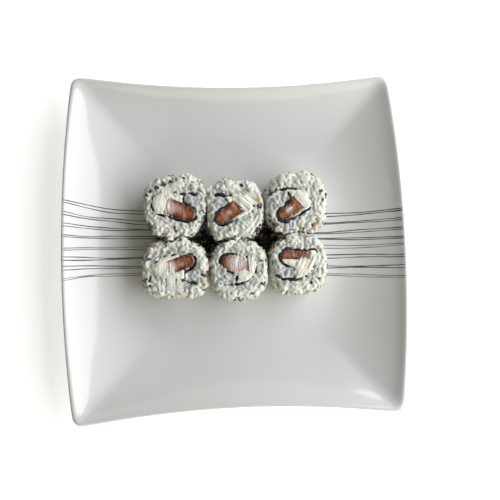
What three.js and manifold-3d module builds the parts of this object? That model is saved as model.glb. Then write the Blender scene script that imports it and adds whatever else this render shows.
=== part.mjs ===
// Six inside-out maki rolls, standing on their cut ends in two rows of three, on a square porcelain
// plate. Millimetres, +Z up. The origin is the centre of the plate's foot, on the table. +Y is the back
// of the plate. Each roll is a closed piece of rice round a sheet of nori, which is rolled up round
// salmon and cream cheese.
import * as THREE from "three";
import { mergeVertices } from "three/addons/utils/BufferGeometryUtils.js";
import Module from "manifold-3d";

const wasm = await Module();
wasm.setup();

// The plate. Its left and right rims bow out, and its front and back rims bow in.
const PLATE = {
  cornerAcross: 114, // origin to a corner, across
  cornerDeep: 122, // origin to a corner, front to back
  bowOut: 8, // how far the middle of a side rim stands outside the corners
  bowIn: 9, // how far the middle of the front rim lies inside the corners
  cornerCut: 8, // length of rim that each corner's rounding takes
  height: 29, // top of the rim, at the middle of a side
  cornerLift: 1.5, // how much higher the corners are
  wellTop: 8, // height of the flat well
  wellShare: 0.57, // share of the half-width that is flat
  wellRoundness: 4.5, // exponent of the well's rounded square: 2 is a circle
  wallPower: 1.7, // how suddenly the wall turns up
  wall: 5, // thickness under the well and the wall
  lip: 3.6, // thickness at the rounded lip
  footHeight: 3,
  footOuter: 0.6, // outer edge of the foot, as a share of the half-width
  footInner: 0.55,
};

// What is alike in all the rolls.
const ROLL = {
  gap: 0.3, // clearance between one piece and the next
  height: 28,
  nori: 0.6, // thickness of the moist sheet
  bump: 0.9, // how deep the grains of rice make the surface uneven
  sag: 0.9, // how deep the flats are where a roll sags out of round
  squareness: 2.9, // exponent of the rounded-square section
};

// One entry for each roll, back row first, left to right. x and y are its axis, wide and deep its size in
// plan, and tall what it stands over the common height. The other numbers are for its sheet of nori,
// which has a frame of its own: +x runs from the salmon to the cheese, and +y to the tongue of rice that
// the roll takes in where it closes. off moves that frame, turn is the angle of its +x, and mirror says
// that the roll stands on its other end. In it, the sheet reaches long to the salmon's side, nose to the
// cheese's side and half away from the tongue, where bulge makes its cheese end fuller. It starts at
// tail, folds round the tongue at tip, and comes back under the tongue at under. dip turns the flats
// where the roll sags, and bar is the strip of salmon, from the axis.
const ROLLS = [
  {
    x: -43.2, y: 27.4, wide: 42.5, deep: 44, tall: 0.3, dip: 2.3,
    off: [0.5, -1.9], turn: 157, mirror: true,
    long: 16, nose: 15.4, half: 7.7, bulge: 0.12, tip: [-1.4, 9.8], tail: [-12, 13.6], under: 4.6,
    bar: { x: 5, y: -4.6, long: 22, wide: 11, turn: -22 },
  },
  {
    x: -0.9, y: 23.6, wide: 40.8, deep: 43.6, tall: -0.4, dip: 0.4,
    off: [-1.2, -0.6], turn: 29, mirror: false,
    long: 15.8, nose: 13.6, half: 7, bulge: 0.2, tip: [0.8, 10.5], tail: [-9.4, 15.9], under: 4.6,
    bar: { x: -5.4, y: -3, long: 22, wide: 10.5, turn: 33 },
  },
  {
    x: 42.2, y: 27.8, wide: 44.4, deep: 44.2, tall: 0.6, dip: 3.9,
    off: [-3.5, -3.3], turn: 42, mirror: false,
    long: 13.7, nose: 12.2, half: 7, bulge: 0.35, tip: [6, 11.1], tail: [-6.8, 17], under: 4.4,
    bar: { x: -5.7, y: -5.3, long: 18, wide: 11, turn: 38 },
  },
  {
    x: -43.4, y: -16.2, wide: 46, deep: 42, tall: -0.2, dip: 5.4,
    off: [0.8, 1.4], turn: 198, mirror: false,
    long: 13.9, nose: 13.6, half: 7.2, bulge: 0.3, tip: [-1.8, 10.4], tail: [-12.8, 15.8], under: 5,
    bar: { x: 3.3, y: 2.9, long: 20, wide: 9.5, turn: 20 },
  },
  {
    x: 0.6, y: -19.2, wide: 41, deep: 41.4, tall: 0.5, dip: 1.4,
    off: [-1.1, 2.3], turn: -24, mirror: true,
    long: 13, nose: 12, half: 7.8, bulge: 0.3, tip: [4.5, 9.9], tail: [-9, 14.8], under: 4.4,
    bar: { x: -2.8, y: 5.2, long: 19, wide: 11, turn: -4 },
  },
  {
    x: 42, y: -16.2, wide: 41, deep: 42, tall: 0, dip: 0.9,
    off: [0, 0.8], turn: -28, mirror: true,
    long: 15, nose: 9, half: 8.2, bulge: 0.78, tip: [2.9, 10.4], tail: [-11.4, 14.8], under: 4.6,
    bar: { x: -2.6, y: 7.4, long: 19.5, wide: 7.5, turn: -3 },
  },
];

// Sesame seeds pressed into the outside of each roll. low and high are shares of its height, and clear is
// how far a seed looks outwards for the roll beside it.
const SEED = { count: 14, long: 3.2, wide: 2, thick: 1.4, low: 0.16, high: 0.9, clear: 1.3 };
const GOLDEN_SHARE = 0.618;

const degrees = (angle) => (angle * Math.PI) / 180;

// A repeatable draw of numbers from 0 to 1.
function drawer(start) {
  let state = start;
  return () => {
    state = (state + 0x6d2b79f5) | 0;
    let mixed = Math.imul(state ^ (state >>> 15), 1 | state);
    mixed = (mixed + Math.imul(mixed ^ (mixed >>> 7), 61 | mixed)) ^ mixed;
    return ((mixed ^ (mixed >>> 14)) >>> 0) / 4294967296;
  };
}

function toSolid(geometry) {
  const bare = geometry.clone();
  bare.deleteAttribute("normal");
  bare.deleteAttribute("uv");
  const merged = mergeVertices(bare, 1e-4);
  return new wasm.Manifold(
    new wasm.Mesh({
      numProp: 3,
      vertProperties: new Float32Array(merged.attributes.position.array),
      triVerts: new Uint32Array(merged.index.array),
    }),
  );
}

function toGeometry(solid) {
  const mesh = solid.getMesh();
  return new THREE.BufferGeometry()
    .setAttribute("position", new THREE.BufferAttribute(mesh.vertProperties, 3))
    .setIndex(new THREE.BufferAttribute(mesh.triVerts, 1));
}

// The largest of the pieces that a cut leaves.
function largest(solid) {
  return solid.decompose().reduce((a, b) => (b.volume() > a.volume() ? b : a));
}

// A closed skin through rings of points, which run from the lowest pole out and up to the highest pole.
function skin(rings, lowPole, highPole) {
  const around = rings[0].length;
  const points = [lowPole, ...rings.flat(), highPole];
  const at = (ring, i) => 1 + ring * around + (i % around);
  const faces = [];
  for (let i = 0; i < around; i++) {
    faces.push(0, at(0, i + 1), at(0, i));
    for (let ring = 0; ring + 1 < rings.length; ring++) {
      faces.push(at(ring, i), at(ring, i + 1), at(ring + 1, i + 1));
      faces.push(at(ring, i), at(ring + 1, i + 1), at(ring + 1, i));
    }
    faces.push(points.length - 1, at(rings.length - 1, i), at(rings.length - 1, i + 1));
  }
  const geometry = new THREE.BufferGeometry().setFromPoints(points);
  geometry.setIndex(faces);
  return geometry;
}

function prism(outline, low, high) {
  const shape = new THREE.Shape(outline);
  const geometry = new THREE.ExtrudeGeometry(shape, { depth: high - low, bevelEnabled: false });
  return toSolid(geometry.translate(0, 0, low));
}

// The rim in plan, anticlockwise from the front right corner: four shallow bows with their corners
// rounded off.
function rimOutline() {
  const { cornerAcross, cornerDeep, bowOut, bowIn, cornerCut } = PLATE;
  const sides = [
    { at: (s) => [cornerAcross + bowOut * (1 - s * s), cornerDeep * s], half: cornerDeep },
    { at: (s) => [-cornerAcross * s, cornerDeep - bowIn * (1 - s * s)], half: cornerAcross },
    { at: (s) => [-cornerAcross - bowOut * (1 - s * s), -cornerDeep * s], half: cornerDeep },
    { at: (s) => [cornerAcross * s, -cornerDeep + bowIn * (1 - s * s)], half: cornerAcross },
  ];
  const steps = 8;
  const outline = [];
  sides.forEach((side, i) => {
    const last = 1 - cornerCut / side.half;
    for (let k = 0; k <= steps; k++) {
      outline.push(new THREE.Vector2(...side.at(last * ((2 * k) / steps - 1))));
    }
    const next = sides[(i + 1) % 4];
    const corner = new THREE.QuadraticBezierCurve(
      outline[outline.length - 1],
      new THREE.Vector2(...side.at(1)),
      new THREE.Vector2(...next.at(cornerCut / next.half - 1)),
    );
    outline.push(corner.getPoint(1 / 3), corner.getPoint(2 / 3));
  });
  return outline;
}

// The plate is drawn as rings, from the middle of its underside over the foot and the lip to the middle
// of its well. A ring at share 1 is the rim, and the rings inside it turn by degrees into the rounder
// square of the well.
function plateGeometry() {
  const { cornerAcross, cornerDeep, wellTop, wellShare, wallPower, wall, lip, height, cornerLift } = PLATE;
  const { footHeight, footOuter, footInner, wellRoundness } = PLATE;
  const rim = rimOutline();
  const middle = (cornerAcross + cornerDeep) / 2;
  const ring = (share, level) =>
    rim.map((p) => {
      const c = Math.abs(p.x / p.length());
      const s = Math.abs(p.y / p.length());
      const soft = middle / (c ** wellRoundness + s ** wellRoundness) ** (1 / wellRoundness);
      const likeRim = THREE.MathUtils.clamp((share - footOuter) / (1 - footOuter), 0, 1);
      const reach = share * THREE.MathUtils.lerp(soft / p.length(), 1, likeRim);
      const corner = Math.min(1, p.length() / Math.hypot(cornerAcross, cornerDeep)) ** 8;
      const climb = Math.max(0, (level - wellTop) / (height - wellTop));
      return new THREE.Vector3(p.x * reach, p.y * reach, level + cornerLift * corner * climb);
    });
  const top = (share) =>
    wellTop + (height - wellTop) * Math.max(0, (share - wellShare) / (1 - wellShare)) ** wallPower;
  const rings = [
    ring(footInner - 0.01, footHeight),
    ring(footInner, 0),
    ring(footOuter - 0.01, 0),
    ring(footOuter, footHeight),
    ...[0.7, 0.78, 0.87, 0.94].map((share) => ring(share, top(share) - wall)),
    ring(0.985, height - lip),
    ring(1, height - lip / 2),
    ring(0.99, height - 0.3),
    ring(0.977, height - 0.45),
    ...[0.95, 0.9, 0.84, 0.77, 0.7, 0.63, wellShare, 0.3].map((share) => ring(share, top(share))),
  ];
  return skin(rings, new THREE.Vector3(0, 0, footHeight), new THREE.Vector3(0, 0, wellTop));
}

// How far a roll reaches from its axis, in a direction of its plan. dip turns the three shallow flats
// where it sags.
function reachOf(roll, angle) {
  const n = ROLL.squareness;
  const c = Math.abs(Math.cos(angle)) / (roll.wide / 2);
  const s = Math.abs(Math.sin(angle)) / (roll.deep / 2);
  return 1 / (c ** n + s ** n) ** (1 / n) - (ROLL.sag * (1 - Math.cos(3 * angle - roll.dip))) / 2;
}

// The sheet of nori in plan, as the knife shows it: from its end near the outside, over the tongue of
// rice, round the cheese and the salmon, back under the tongue, and hooked up round the tongue's tip.
function noriLine(roll) {
  const { long, nose, half, bulge, tip, tail, under } = roll;
  const route = [
    tail,
    [(tail[0] + tip[0]) / 2 + 1, (tail[1] + tip[1]) / 2 + 1.3],
    tip,
    [nose * 0.9, half * 0.55],
    [nose, -half * 0.35],
    [nose * 0.74, -half * (0.85 + bulge)],
    [nose * 0.1, -half * (0.9 + bulge / 2)],
    [-long * 0.5, -half * 0.85],
    [-long * 0.93, -half * 0.5],
    [-long * 0.97, half * 0.2],
    [-long * 0.68, under * 0.95],
    [-long * 0.3, under],
    [tip[0] - 3.4, under],
    [tip[0] - 1.2, (under + tip[1]) / 2],
    [tip[0] - 1.3, tip[1] - 1.3],
  ];
  const side = roll.mirror ? -1 : 1;
  const curve = new THREE.CatmullRomCurve3(
    route.map(([x, y]) => new THREE.Vector3(x, y * side, 0)),
    false,
    "centripetal",
  );
  const centre = new THREE.Vector2(0, 0);
  const moved = new THREE.Vector2(roll.x + roll.off[0], roll.y + roll.off[1]);
  return curve
    .getSpacedPoints(32)
    .map((p) => new THREE.Vector2(p.x, p.y).rotateAround(centre, degrees(roll.turn)).add(moved));
}

// The outline of a strip that follows a line, with square ends that may run past the line's own.
function strip(line, halfWidth, past) {
  const along = line.map((_, i) =>
    line[Math.min(i + 1, line.length - 1)].clone().sub(line[Math.max(i - 1, 0)]).normalize(),
  );
  const middle = line.map((p) => p.clone());
  middle[0].addScaledVector(along[0], -past);
  middle[line.length - 1].addScaledVector(along[line.length - 1], past);
  const shifted = (side) =>
    middle.map((p, i) => new THREE.Vector2(-along[i].y, along[i].x).multiplyScalar(side * halfWidth).add(p));
  return [...shifted(-1), ...shifted(1).reverse()];
}

// The part of the nori's line that closes round the filling: from the point over the tongue's tip to the
// inside end.
function fillingOutline(line) {
  const end = line[line.length - 1];
  const half = Math.floor(line.length / 2);
  const gaps = line.slice(0, half).map((p) => p.distanceTo(end));
  return line.slice(gaps.indexOf(Math.min(...gaps)));
}

// Rice: a barrel with a rounded-square section, made uneven by dents a grain apart, before anything is
// cut out of it. A station is a share of the reach, a share of the height and how rough the barrel is
// there. The last three are the cut face, which is a little hollow in the middle.
const DISH = 0.3;

function riceBarrel(roll, draw) {
  const around = 34;
  const low = PLATE.wellTop + ROLL.gap;
  const tall = ROLL.height + roll.tall;
  const stations = [
    [0.88, 0, 0],
    [0.965, 0.1, 0.5],
    [1, 0.26, 1],
    [1, 0.43, 1],
    [1, 0.6, 1],
    [0.99, 0.77, 1],
    [0.96, 0.91, 1],
    [0.88, 0.985, 1],
    [0.73, 1, 0.6],
    [0.55, 1, 0.6],
    [0.3, 1, 0.6],
  ];
  const rings = stations.map(([share, rise, rough], k) =>
    Array.from({ length: around }, (_, i) => {
      const angle = (2 * Math.PI * (i + (k % 2) / 2)) / around;
      const dent = rough * ROLL.bump * draw();
      const reach = share * reachOf(roll, angle) - (rise < 1 ? dent : 0);
      const level = low + rise * tall - (rise > 0.9 ? dent * 0.8 : 0);
      return new THREE.Vector3(roll.x + reach * Math.cos(angle), roll.y + reach * Math.sin(angle), level);
    }),
  );
  const bottom = new THREE.Vector3(roll.x, roll.y, low);
  const top = new THREE.Vector3(roll.x, roll.y, low + tall - DISH);
  return toSolid(skin(rings, bottom, top));
}

// Sesame seeds, half sunk in the side of a roll, wherever they stay clear of the rolls beside it.
function seeds(roll, draw) {
  const low = PLATE.wellTop + ROLL.gap;
  const made = [];
  for (let i = 0; i < SEED.count; i++) {
    const angle = (2 * Math.PI * (i + 0.6 * draw())) / SEED.count;
    const rise = SEED.low + (SEED.high - SEED.low) * ((i * GOLDEN_SHARE + 0.2 * draw()) % 1);
    const lie = Math.PI * draw();
    const reach = reachOf(roll, angle) * (rise > 0.8 ? 0.975 : 1) - ROLL.bump * 0.5;
    const place = new THREE.Vector3(
      roll.x + reach * Math.cos(angle),
      roll.y + reach * Math.sin(angle),
      low + rise * (ROLL.height + roll.tall),
    );
    const outside = new THREE.Vector2(Math.cos(angle), Math.sin(angle)).multiplyScalar(SEED.clear);
    const crowded = ROLLS.some((other) => {
      const gap = new THREE.Vector2(place.x - other.x, place.y - other.y).add(outside);
      return other !== roll && gap.length() < reachOf(other, gap.angle()) + 0.4;
    });
    if (crowded) continue;
    const seed = new THREE.IcosahedronGeometry(0.5, 0).scale(SEED.long, SEED.wide, SEED.thick);
    seed.rotateZ(lie).rotateX(Math.PI / 2).rotateZ(angle + Math.PI / 2);
    made.push(toSolid(seed.translate(place.x, place.y, place.z)));
  }
  return made;
}

// The four pieces of one roll. The cheese fills what the strip of salmon leaves inside the nori.
function rollPieces(roll, index) {
  const draw = drawer(101 + index);
  const low = PLATE.wellTop + ROLL.gap;
  const high = low + ROLL.height + roll.tall;
  const line = noriLine(roll);
  const sheet = ROLL.nori / 2;
  const room = sheet + ROLL.gap;
  const through = [low - 2, high + 4];
  const filling = fillingOutline(line);
  const pocket = prism(filling, ...through);
  const slot = prism(strip(line, room, ROLL.gap), ...through);

  const body = wasm.Manifold.union([riceBarrel(roll, draw), ...seeds(roll, draw)]);
  const rice = largest(body.subtract(pocket).subtract(slot));

  const inside = prism(filling, low, high).subtract(slot);
  const salmonBar = (grown, level) => {
    const { x, y, long, wide, turn } = roll.bar;
    const box = new THREE.BoxGeometry(long + 2 * grown, wide + 2 * grown, level - low + 2);
    box.translate(0, 0, (low + level) / 2 - 1).rotateZ(degrees(turn)).translate(roll.x + x, roll.y + y, 0);
    return toSolid(box);
  };
  return {
    rice,
    nori: prism(strip(line, sheet, 0), low, high - 0.1),
    salmon: largest(inside.intersect(salmonBar(0, high - 0.5))),
    cheese: largest(inside.subtract(salmonBar(ROLL.gap, high + 1))),
  };
}

const MATERIALS = {
  plate: { color: 0xf1f2f0, roughness: 0.12, metalness: 0 },
  rice: { color: 0xdfe3dd, roughness: 0.45, metalness: 0 },
  nori: { color: 0x14181a, roughness: 0.6, metalness: 0 },
  salmon: { color: 0xb4583a, roughness: 0.3, metalness: 0 },
  cheese: { color: 0xf1efdd, roughness: 0.4, metalness: 0 },
};

const dish = new THREE.Group();

function add(name, kind, geometry) {
  const material = new THREE.MeshStandardMaterial({ ...MATERIALS[kind], flatShading: true });
  const mesh = new THREE.Mesh(geometry, material);
  mesh.name = name;
  dish.add(mesh);
}

add("plate", "plate", plateGeometry());
ROLLS.forEach((roll, index) => {
  Object.entries(rollPieces(roll, index)).forEach(([kind, solid]) => {
    add(`${kind}_${index + 1}`, kind, toGeometry(solid));
  });
});

export default dish;
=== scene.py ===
import math

import bmesh
import bpy
import numpy as np
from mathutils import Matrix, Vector, noise
from mathutils.bvhtree import BVHTree


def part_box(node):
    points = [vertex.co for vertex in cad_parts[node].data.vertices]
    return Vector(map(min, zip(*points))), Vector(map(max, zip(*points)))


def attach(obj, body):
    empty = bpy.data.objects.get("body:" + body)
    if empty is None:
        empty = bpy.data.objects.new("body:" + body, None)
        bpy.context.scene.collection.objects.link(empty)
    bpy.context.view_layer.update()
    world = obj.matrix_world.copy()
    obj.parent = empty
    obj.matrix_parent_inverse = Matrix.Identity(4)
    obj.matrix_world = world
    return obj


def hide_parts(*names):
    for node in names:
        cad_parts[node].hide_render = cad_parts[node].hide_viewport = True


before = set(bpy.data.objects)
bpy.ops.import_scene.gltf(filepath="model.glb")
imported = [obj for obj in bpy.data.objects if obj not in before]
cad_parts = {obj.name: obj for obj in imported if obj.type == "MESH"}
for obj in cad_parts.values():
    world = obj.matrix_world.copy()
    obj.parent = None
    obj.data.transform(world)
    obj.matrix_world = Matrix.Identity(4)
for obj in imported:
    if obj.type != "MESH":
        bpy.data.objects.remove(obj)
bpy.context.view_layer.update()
MM = 0.001

# The camera hangs over the front of the plate and looks almost straight down, as somebody who stands at
# the table would hold it. Its place and turn follow from the four corners of the plate.
LENS = 36.3
CAMERA_PLACE = (-13.25 * MM, -30.75 * MM, 380 * MM)
CAMERA_TURN = (4.351, -3.445, -1.771)
camera_data = bpy.data.cameras.new("camera")
camera_data.sensor_width = 36
camera_data.lens = LENS
camera = bpy.data.objects.new("camera", camera_data)
camera.location = CAMERA_PLACE
camera.rotation_euler = [math.radians(angle) for angle in CAMERA_TURN]
bpy.context.scene.collection.objects.link(camera)
bpy.context.scene.camera = camera

# The table is a plain pale top, and the light is one wide window on the right with a bright room round it.
# The plate's left wall faces the window, and the rolls throw their shadows to the left.
DAYLIGHT = (0.955, 0.985, 1)
ROOM_LIGHT = (1, 0.95, 0.8)
ROOM_COLOUR = (1, 0.96, 0.88, 1)
ROOM_GLOW = 0.03
ROOM_SEEN = 0.8
# The place, the aim, the width and height, the watts and the colour of each light.
LIGHTS = {
    "window": ((0.72, 0.08, 0.54), (0, 0, 0.02), (1.5, 0.8), 13.0, DAYLIGHT),
    "room_front": ((0.2, -1, 0.48), (0, 0, 0), (2, 0.8), 7.2, ROOM_LIGHT),
    "room_back": ((0.2, 1, 0.48), (0, 0, 0), (2, 0.8), 4, ROOM_LIGHT),
}


def new_material(name, finish):
    """A material with one shader. Whatever is the same all over is set on the shader's own sockets."""
    material = bpy.data.materials.new(name)
    material.use_nodes = True
    shader = material.node_tree.nodes["Principled BSDF"]
    for socket, value in finish.items():
        shader.inputs[socket].default_value = value
    return material, material.node_tree, shader


def add_node(tree, kind, inputs, **settings):
    """A shader node. Each of its inputs is a number, a colour or another node's output."""
    made = tree.nodes.new("ShaderNode" + kind)
    for key, value in settings.items():
        setattr(made, key, value)
    for socket, value in inputs.items():
        if isinstance(value, bpy.types.NodeSocket):
            tree.links.new(value, made.inputs[socket])
        else:
            made.inputs[socket].default_value = value
    return made


def remapped(tree, value, of=(0, 1), to=(0, 1)):
    """A value carried over from one range to another, and held inside it."""
    sockets = {"Value": value, "From Min": of[0], "From Max": of[1], "To Min": to[0], "To Max": to[1]}
    return add_node(tree, "MapRange", sockets).outputs["Result"]


def area_light(name, place, aim, size, watts, colour):
    """A rectangle of soft light that faces a point on the table."""
    data = bpy.data.lights.new(name, "AREA")
    data.shape = "RECTANGLE"
    data.size, data.size_y = size
    data.energy = watts
    data.color = colour
    light = bpy.data.objects.new(name, data)
    light.location = place
    light.rotation_euler = (Vector(aim) - Vector(place)).to_track_quat("-Z", "Y").to_euler()
    bpy.context.scene.collection.objects.link(light)


bpy.ops.object.select_all(action="DESELECT")
bpy.ops.mesh.primitive_plane_add(size=4)
table = bpy.context.object
table.name = "table_top"
table_finish, _, _ = new_material(
    "table_top",
    {
        "Base Color": (0.97, 0.97, 0.97, 1),
        "Roughness": 0.8,
        "Emission Color": (1, 1, 1, 1),
        "Emission Strength": 0.5,
    },
)
table.data.materials.append(table_finish)
for name, values in LIGHTS.items():
    area_light(name, *values)
world = bpy.data.worlds.new("room")
world.use_nodes = True
seen = add_node(world.node_tree, "LightPath", {}).outputs["Is Camera Ray"]
glow = remapped(world.node_tree, seen, to=(ROOM_GLOW, ROOM_SEEN))
background = world.node_tree.nodes["Background"]
background.inputs["Color"].default_value = ROOM_COLOUR
world.node_tree.links.new(glow, background.inputs["Strength"])
bpy.context.scene.world = world
bpy.context.scene.view_settings.view_transform = "Standard"

# The plate is slip-cast porcelain under a clear gloss glaze, with a soft crease from each corner to the well
# and a thin rounded rim. It is fired upside up on its foot ring, so the glaze runs smooth all over.
GLAZE = ((0.73, 0.745, 0.74, 1), (0.77, 0.785, 0.78, 1))
WELD = 0.002 * MM


def select_only(*pieces):
    """Selects some pieces and nothing else, and makes the first one active."""
    bpy.ops.object.select_all(action="DESELECT")
    for piece in pieces:
        piece.select_set(True)
    bpy.context.view_layer.objects.active = pieces[0]


def merged_copy(node, name):
    """A copy of a CAD node's mesh as a new object, with its loose triangles merged."""
    piece = bpy.data.objects.new(name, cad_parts[node].data.copy())
    piece.data.name = name
    piece.data.materials.clear()
    bpy.context.scene.collection.objects.link(piece)
    select_only(piece)
    bpy.ops.mesh.customdata_custom_splitnormals_clear()
    bpy.ops.object.mode_set(mode="EDIT")
    bpy.ops.mesh.select_all(action="SELECT")
    bpy.ops.mesh.remove_doubles(threshold=WELD)
    bpy.ops.object.mode_set(mode="OBJECT")
    return piece


def apply_modifier(piece, kind, **settings):
    """Adds a modifier, sets it and applies it."""
    select_only(piece)
    modifier = piece.modifiers.new(kind.lower(), kind)
    for key, value in settings.items():
        setattr(modifier, key, value)
    bpy.ops.object.modifier_apply(modifier=modifier.name)


def place_on(tree):
    """The place on the piece that a pattern is laid out by."""
    return add_node(tree, "TexCoord", {}).outputs["Object"]


def cloudy(tree, place, scale, detail, roughness=0.5, distortion=0):
    """A cloudy pattern, as a number from 0 to 1."""
    sockets = {"Vector": place, "Scale": scale, "Detail": detail, "Roughness": roughness}
    return add_node(tree, "TexNoise", {**sockets, "Distortion": distortion}).outputs["Fac"]


def mixed(tree, share, first, second):
    """A colour between two others."""
    return add_node(tree, "Mix", {0: share, 6: first, 7: second}, data_type="RGBA").outputs[2]


def bumped(tree, height, strength, distance):
    """A fine relief in the surface, from a pattern."""
    sockets = {"Height": height, "Strength": strength, "Distance": distance}
    return add_node(tree, "Bump", sockets).outputs["Normal"]


def wire(tree, shader, sockets):
    """Feeds the shader's sockets from other nodes."""
    for socket, output in sockets.items():
        tree.links.new(output, shader.inputs[socket])


def finished(piece, material, slot, *nodes):
    """Gives a piece its material, and ties it to the part that it belongs to."""
    piece.data.materials.append(material)
    piece.data.shade_smooth()
    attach(piece, "root")
    if nodes:
        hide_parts(*nodes)


plate = merged_copy("plate", "plate_glaze")
bpy.ops.object.mode_set(mode="EDIT")
bpy.ops.mesh.select_all(action="SELECT")
bpy.ops.mesh.tris_convert_to_quads(face_threshold=math.radians(60), shape_threshold=math.radians(70))
bpy.ops.object.mode_set(mode="OBJECT")
apply_modifier(plate, "SUBSURF", levels=2, render_levels=2)

porcelain, tree, shader = new_material(
    "porcelain", {"Roughness": 0.12, "IOR": 1.5, "Coat Weight": 0.4, "Coat Roughness": 0.05}
)
place = place_on(tree)
tint = mixed(tree, cloudy(tree, place, 14, 3), *GLAZE)
ripple = bumped(tree, cloudy(tree, place, 60, 2), 0.04, 0.3 * MM)
wire(tree, shader, {"Base Color": tint, "Normal": ripple})
finished(plate, porcelain, "porcelain", "plate")

# The decoration is eight pairs of fine lines, drawn by hand with a brush from rim to rim before the plate is
# glazed. The two lines of a pair wander, thin out and run into each other. They are thin strips just proud
# of the glaze. The tables give each pair's course and the gap between its lines, at eight places along it.
LINE_X = np.array([-121, -105, -90, -69, 0, 68, 95, 119]) * MM
PAIR_Y = np.array(
    [
        [33.2, 29.8, 27.2, 26.7, 23.8, 21.7, 21.6, 21.9],
        [25.1, 21.6, 20.9, 18.7, 16.6, 15.3, 15.3, 15.3],
        [16.8, 15.0, 14.0, 13.9, 10.4, 8.1, 8.6, 8.4],
        [8.8, 7.9, 8.3, 8.0, 5.6, 3.8, 2.7, 1.8],
        [-0.8, 0.1, 0.1, 0.4, -0.6, -2.3, -3.2, -3.0],
        [-7.1, -7.3, -7.3, -6.8, -8.4, -9.6, -9.9, -11.3],
        [-13.9, -13.0, -13.4, -13.6, -15.8, -17.3, -18.1, -19.1],
        [-21.9, -19.2, -18.7, -19.0, -21.2, -22.9, -24.8, -26.5],
    ]
) * MM
PAIR_GAP = np.array(
    [
        [1.5, 2.1, 2.8, 2.1, 2.0, 2.5, 1.2, 1.7],
        [2.1, 1.3, 2.0, 2.7, 2.0, 0.7, 1.2, 1.6],
        [2.1, 1.6, 1.5, 0.5, 1.0, 1.0, 1.9, 1.4],
        [1.4, 0.9, 1.5, 1.7, 1.5, 0.8, 1.3, 1.2],
        [1.4, 1.3, 1.3, 2.2, 2.0, 2.3, 1.7, 1.1],
        [2.5, 1.9, 0.5, 0.3, 1.5, 2.4, 1.8, 1.9],
        [2.7, 2.1, 1.5, 1.2, 1.5, 1.4, 0.6, 2.0],
        [1.6, 0.3, 1.9, 1.2, 1.5, 1.2, 1.5, 1.2],
    ]
) * MM
PAIR_INK = [1, 0.7, 0.75, 0.7, 0.45, 1, 0.95, 0.5]
DARK_FROM = 0.6
INK = {
    "dark": ((0.02, 0.02, 0.022, 1), (0.1, 0.1, 0.1, 1)),
    "faint": ((0.1, 0.1, 0.1, 1), (0.3, 0.3, 0.29, 1)),
}
BEND_EASE = np.array([-5, 0, 5]) * MM
LINE_STEPS = 240
LINE_WIDTH = 0.66 * MM
LINE_WANDER = 0.3 * MM
LINE_SKIN = 0.04 * MM
LINE_PROUD = 0.05 * MM
DROP_FROM = 60 * MM
RIM_ABOVE = 45 * MM


def drop_points(piece, numbers):
    """Takes points away from a piece, with the faces that hang on them."""
    mesh = bmesh.new()
    mesh.from_mesh(piece.data)
    mesh.verts.ensure_lookup_table()
    bmesh.ops.delete(mesh, geom=[mesh.verts[k] for k in numbers], context="VERTS")
    mesh.to_mesh(piece.data)
    mesh.free()


def joined(first, *others):
    """Makes one object of several, under the name of the first."""
    select_only(first, *others)
    bpy.ops.object.join()
    return first


def drawn_line(name, pair, side, ink):
    """One brushed line: a long grid, pushed to its course, laid on the glaze and thickened a little."""
    bpy.ops.object.select_all(action="DESELECT")
    bpy.ops.mesh.primitive_grid_add(x_subdivisions=LINE_STEPS, y_subdivisions=1, size=1)
    line = bpy.context.object
    line.name = name
    for vertex in line.data.vertices:
        x = LINE_X[0] + (vertex.co.x + 0.5) * (LINE_X[-1] - LINE_X[0])
        across = 1 if vertex.co.y > 0 else -1
        course = np.interp(x + BEND_EASE, LINE_X, PAIR_Y[pair]).mean()
        gap = np.interp(x + BEND_EASE, LINE_X, PAIR_GAP[pair]).mean()
        wander = LINE_WANDER * noise.noise(Vector((x * 40, pair * 5.1 + side, 7)))
        half = LINE_WIDTH / 2 * (1 + 0.6 * noise.noise(Vector((x * 90, pair * 2.3 + side, 4))))
        edge = across * half * (0.75 + 0.25 * ink)
        vertex.co = (x, course + side * gap / 2 + wander + edge, DROP_FROM)
    apply_modifier(
        line,
        "SHRINKWRAP",
        target=plate,
        wrap_method="PROJECT",
        use_project_z=True,
        use_negative_direction=True,
        use_positive_direction=False,
        offset=LINE_PROUD,
    )
    drop_points(line, [vertex.index for vertex in line.data.vertices if vertex.co.z > RIM_ABOVE])
    apply_modifier(line, "SOLIDIFY", thickness=LINE_SKIN, offset=-1)
    return line


for shade, inks in INK.items():
    lines = [
        drawn_line(f"line_{pair}_{side}", pair, side, ink)
        for pair, ink in enumerate(PAIR_INK)
        for side in (-1, 1)
        if (ink > DARK_FROM) == (shade == "dark")
    ]
    drawing = joined(*lines)
    drawing.name = f"drawn_lines_{shade}"
    brush, tree, shader = new_material(
        f"brush_{shade}", {"Roughness": 0.15, "Coat Weight": 0.4, "Coat Roughness": 0.05}
    )
    tint = mixed(tree, cloudy(tree, place_on(tree), 55, 4), *inks)
    wire(tree, shader, {"Base Color": tint})
    finished(drawing, brush, "porcelain")

# The rice is short-grained, boiled soft and pressed by hand round the sheet of nori. Its grains stick
# together, and they keep their shape on the outside of a roll. The wet knife has flattened them on the cut
# face, where they look grey and half clear.
ROLLS = range(1, 7)
ROLLS_HIGH = max(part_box(f"rice_{number}")[1].z for number in ROLLS)
PRESS_FROM = ROLLS_HIGH - 0.4 * MM
CEILING = ROLLS_HIGH + 1 * MM
DOWN = Vector((0, 0, -1))
RAY_ABOVE = 5 * MM
GRAIN_LONG = 5.1 * MM
GRAIN_WIDE = 2.75 * MM
GRAIN_FORMS = [(0.2, 0.1), (0.05, 0.18)]
FACE_SPACING = 2.15 * MM
FACE_DEPTH = 6 * MM
SIDE_SPACING = 2.4 * MM
GRAIN_TRIES = 7000
BESIDE_NORI = 3 * MM
BRIDGE_GAP = 1.1 * MM
BRIDGE_SUNK = 0.8 * MM
BRIDGE_COVER = 0.35
CLUMP_FILL = 3.2
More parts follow.
